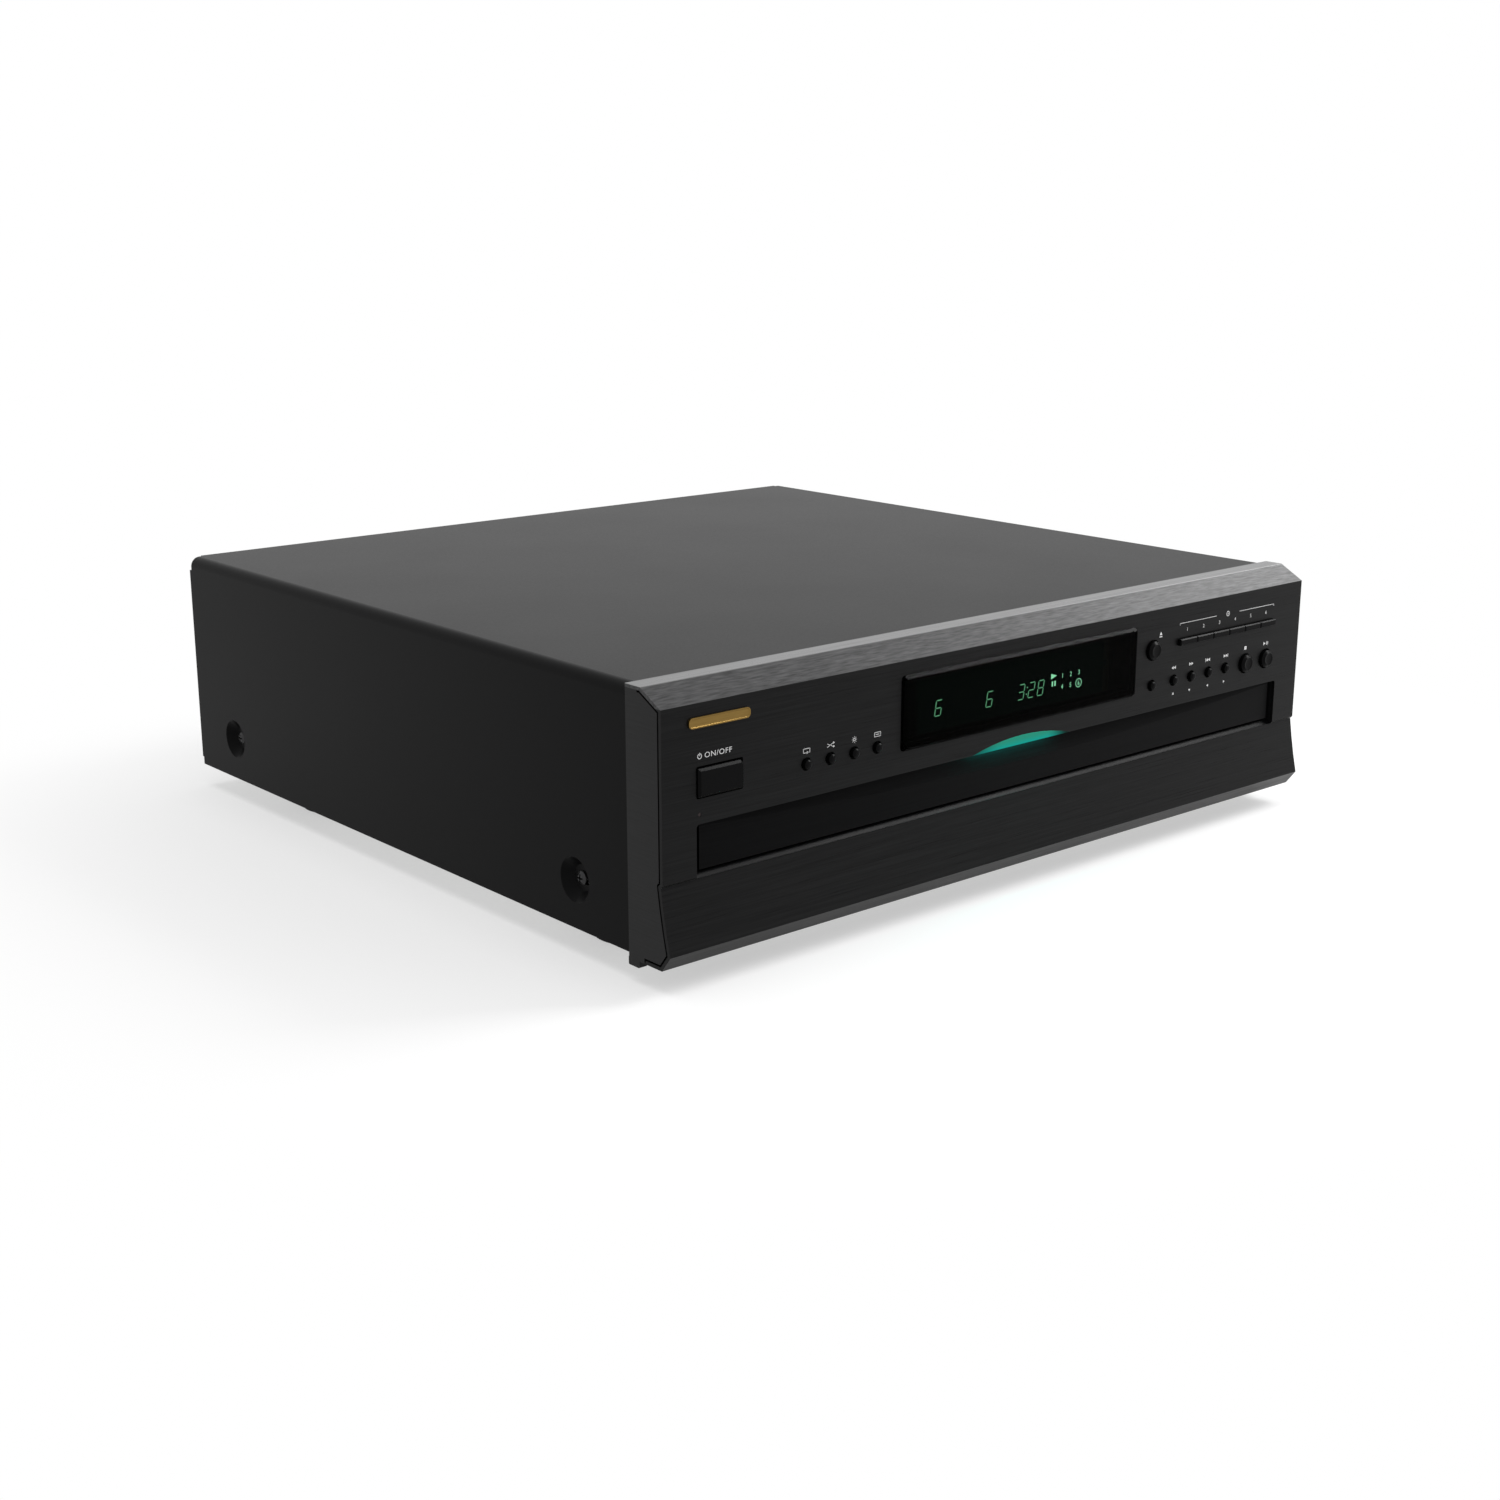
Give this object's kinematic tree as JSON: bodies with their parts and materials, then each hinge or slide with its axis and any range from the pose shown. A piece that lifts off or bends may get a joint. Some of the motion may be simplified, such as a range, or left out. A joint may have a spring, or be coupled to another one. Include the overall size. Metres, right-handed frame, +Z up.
{
  "type": "cd changer",
  "caption": "Full-width carousel disc changer: brushed black front with display window, flared skirt, wide drawer with a disc carousel, lifting disc drive and working buttons.",
  "frame": {"origin": "middle of the footprint, on the surface the feet stand on", "axes": "+X to the right seen from the front, -Y out of the front, +Z up"},
  "size_m": [0.435, 0.4296, 0.13],
  "materials": {
    "satin_black_steel": "satin textured paint, very dark grey",
    "zinc_steel": "plain zinc-plated sheet",
    "black_screw": "black oxide",
    "brushed_black": "black anodised, brushed sideways",
    "black_abs": "fine moulded texture",
    "end_black": "fine brushed grey-black",
    "trim_black": "satin black trim",
    "drawer_black": "black anodised, brushed sideways",
    "smoked_window": "smoked clear acrylic, polished",
    "display_glass": "dark display glass",
    "teal_lens": "translucent teal",
    "lamp_red": "clear red",
    "circuit_board": "phenolic board",
    "button_black": "satin dark metallic",
    "tray_black": "fine moulded texture",
    "carousel_black": "satin moulded",
    "white_gear": "natural acetal",
    "motor_steel": "plated can",
    "belt_rubber": "matte",
    "traverse_grey": "glass-filled moulding",
    "turntable_black": "satin",
    "rod_steel": "ground steel",
    "jack_metal": "nickel plated"
  },
  "bodies": {
    "case": {"top_cover": "satin_black_steel", "cover_screws": "black_screw", "bottom_chassis": "zinc_steel", "rear_panel": "satin_black_steel", "feet": "black_abs", "front_panel": "brushed_black", "panel_frame": "black_abs", "end_cap_left": "end_black", "end_cap_right": "end_black", "drawer_sill": "trim_black", "display_window": "smoked_window", "display_tube": "display_glass", "light_lens": "teal_lens", "standby_lamp": "lamp_red", "key_board": "circuit_board", "rail_left": "black_abs", "rail_right": "black_abs", "gear_motors": "motor_steel", "traverse_cradle": "black_abs", "clamp_bridge": "zinc_steel", "main_board": "circuit_board", "transformer": "motor_steel", "rear_jacks": "jack_metal", "cord_gland": "black_abs"},
    "drawer": {"drawer_tray": "tray_black", "drawer_front": "drawer_black", "carousel_motor": "motor_steel", "carousel_belt": "belt_rubber"},
    "carousel": {"carousel": "carousel_black", "carousel_cap": "carousel_black"},
    "carousel_drive_gear": {"carousel_drive_gear": "white_gear"},
    "carousel_pulley": {"carousel_pulley": "white_gear"},
    "drawer_pinion": {"drawer_pinion": "white_gear"},
    "traverse": {"traverse_frame": "traverse_grey", "spindle_motor": "motor_steel", "sled_rods": "rod_steel"},
    "disc_turntable": {"disc_turntable": "turntable_black"},
    "pickup_sled": {"pickup_sled": "traverse_grey"},
    "lift_slider": {"lift_slider": "black_abs"},
    "lift_gear": {"lift_gear": "white_gear"},
    "clamp_puck": {"clamp_puck": "turntable_black"},
    "repeat": {"repeat": "button_black"},
    "random": {"random": "button_black"},
    "dimmer": {"dimmer": "button_black"},
    "display": {"display": "button_black"},
    "disc_skip": {"disc_skip": "button_black"},
    "rewind": {"rewind": "button_black"},
    "forward": {"forward": "button_black"},
    "previous": {"previous": "button_black"},
    "next": {"next": "button_black"},
    "open_close": {"open_close": "button_black"},
    "stop": {"stop": "button_black"},
    "play": {"play": "button_black"},
    "power": {"power": "button_black"},
    "disc_key_1": {"disc_key_1": "button_black"},
    "disc_key_2": {"disc_key_2": "button_black"},
    "disc_key_3": {"disc_key_3": "button_black"},
    "disc_key_4": {"disc_key_4": "button_black"},
    "disc_key_5": {"disc_key_5": "button_black"},
    "disc_key_6": {"disc_key_6": "button_black"}
  },
  "joints": [
    {"name": "drawer_slide", "type": "slide", "parent": "case", "child": "drawer", "axis": [0, -1, 0], "range_m": [0, 0.23]},
    {"name": "carousel_spin", "type": "hinge", "parent": "drawer", "child": "carousel", "pos_m": [0, -0.0112, 0.0655], "axis": [0, 0, 1], "continuous": true},
    {"name": "drive_gear_spin", "type": "hinge", "parent": "drawer", "child": "carousel_drive_gear", "pos_m": [-0.06709, 0.05549, 0.0535], "axis": [0, 0, 1], "continuous": true},
    {"name": "carousel_pulley_spin", "type": "hinge", "parent": "drawer", "child": "carousel_pulley", "pos_m": [-0.168, 0.1558, 0.051], "axis": [0, 0, 1], "continuous": true},
    {"name": "drawer_pinion_spin", "type": "hinge", "parent": "case", "child": "drawer_pinion", "pos_m": [-0.1599, -0.1652, 0.0508], "axis": [0, 0, 1], "range_deg": [-1, 1105]},
    {"name": "traverse_lift", "type": "hinge", "parent": "case", "child": "traverse", "pos_m": [0, 0.1938, 0.048], "axis": [-1, 0, 0], "range_deg": [0, 8.5]},
    {"name": "lift_slide", "type": "slide", "parent": "case", "child": "lift_slider", "axis": [1, 0, 0], "range_m": [-0.0002, 0.0263]},
    {"name": "lift_gear_spin", "type": "hinge", "parent": "case", "child": "lift_gear", "pos_m": [0.012, 0.0523, 0.0503], "axis": [0, 0, 1], "range_deg": [-126, 1]},
    {"name": "disc_spin", "type": "hinge", "parent": "traverse", "child": "disc_turntable", "pos_m": [0, 0.10994, 0.0476], "axis": [0, -0.1478, 0.989], "continuous": true},
    {"name": "sled_slide", "type": "slide", "parent": "traverse", "child": "pickup_sled", "axis": [0, 0.989, 0.1478], "range_m": [0, 0.034]},
    {"name": "clamp_puck_spin", "type": "hinge", "parent": "case", "child": "clamp_puck", "pos_m": [0, 0.1108, 0.0689], "axis": [0, 0, 1], "continuous": true},
    {"name": "repeat_press", "type": "slide", "parent": "case", "child": "repeat", "axis": [0, 1, 0], "range_m": [0, 0.001], "stiffness_N_per_m": 300},
    {"name": "random_press", "type": "slide", "parent": "case", "child": "random", "axis": [0, 1, 0], "range_m": [0, 0.001], "stiffness_N_per_m": 300},
    {"name": "dimmer_press", "type": "slide", "parent": "case", "child": "dimmer", "axis": [0, 1, 0], "range_m": [0, 0.001], "stiffness_N_per_m": 300},
    {"name": "display_press", "type": "slide", "parent": "case", "child": "display", "axis": [0, 1, 0], "range_m": [0, 0.001], "stiffness_N_per_m": 300},
    {"name": "disc_skip_press", "type": "slide", "parent": "case", "child": "disc_skip", "axis": [0, 1, 0], "range_m": [0, 0.001], "stiffness_N_per_m": 300},
    {"name": "rewind_press", "type": "slide", "parent": "case", "child": "rewind", "axis": [0, 1, 0], "range_m": [0, 0.001], "stiffness_N_per_m": 300},
    {"name": "forward_press", "type": "slide", "parent": "case", "child": "forward", "axis": [0, 1, 0], "range_m": [0, 0.001], "stiffness_N_per_m": 300},
    {"name": "previous_press", "type": "slide", "parent": "case", "child": "previous", "axis": [0, 1, 0], "range_m": [0, 0.001], "stiffness_N_per_m": 300},
    {"name": "next_press", "type": "slide", "parent": "case", "child": "next", "axis": [0, 1, 0], "range_m": [0, 0.001], "stiffness_N_per_m": 300},
    {"name": "open_close_press", "type": "slide", "parent": "case", "child": "open_close", "axis": [0, 1, 0], "range_m": [0, 0.001], "stiffness_N_per_m": 300},
    {"name": "stop_press", "type": "slide", "parent": "case", "child": "stop", "axis": [0, 1, 0], "range_m": [0, 0.001], "stiffness_N_per_m": 300},
    {"name": "play_press", "type": "slide", "parent": "case", "child": "play", "axis": [0, 1, 0], "range_m": [0, 0.001], "stiffness_N_per_m": 300},
    {"name": "power_press", "type": "slide", "parent": "case", "child": "power", "axis": [0, 1, 0], "range_m": [0, 0.001], "stiffness_N_per_m": 300},
    {"name": "disc_key_1_press", "type": "slide", "parent": "case", "child": "disc_key_1", "axis": [0, 1, 0], "range_m": [0, 0.001], "stiffness_N_per_m": 300},
    {"name": "disc_key_2_press", "type": "slide", "parent": "case", "child": "disc_key_2", "axis": [0, 1, 0], "range_m": [0, 0.001], "stiffness_N_per_m": 300},
    {"name": "disc_key_3_press", "type": "slide", "parent": "case", "child": "disc_key_3", "axis": [0, 1, 0], "range_m": [0, 0.001], "stiffness_N_per_m": 300},
    {"name": "disc_key_4_press", "type": "slide", "parent": "case", "child": "disc_key_4", "axis": [0, 1, 0], "range_m": [0, 0.001], "stiffness_N_per_m": 300},
    {"name": "disc_key_5_press", "type": "slide", "parent": "case", "child": "disc_key_5", "axis": [0, 1, 0], "range_m": [0, 0.001], "stiffness_N_per_m": 300},
    {"name": "disc_key_6_press", "type": "slide", "parent": "case", "child": "disc_key_6", "axis": [0, 1, 0], "range_m": [0, 0.001], "stiffness_N_per_m": 300}
  ],
  "couplings": [
    {"joint": "drive_gear_spin", "follows": "carousel_spin", "ratio": -8},
    {"joint": "carousel_pulley_spin", "follows": "carousel_spin", "ratio": -19.429},
    {"joint": "drawer_pinion_spin", "follows": "drawer_slide", "rad_per_m": 83.333},
    {"joint": "lift_slide", "follows": "traverse_lift", "m_per_rad": 0.17526},
    {"joint": "lift_gear_spin", "follows": "traverse_lift", "ratio": -14.605},
    {"joint": "clamp_puck_spin", "follows": "disc_spin", "ratio": 1}
  ]
}
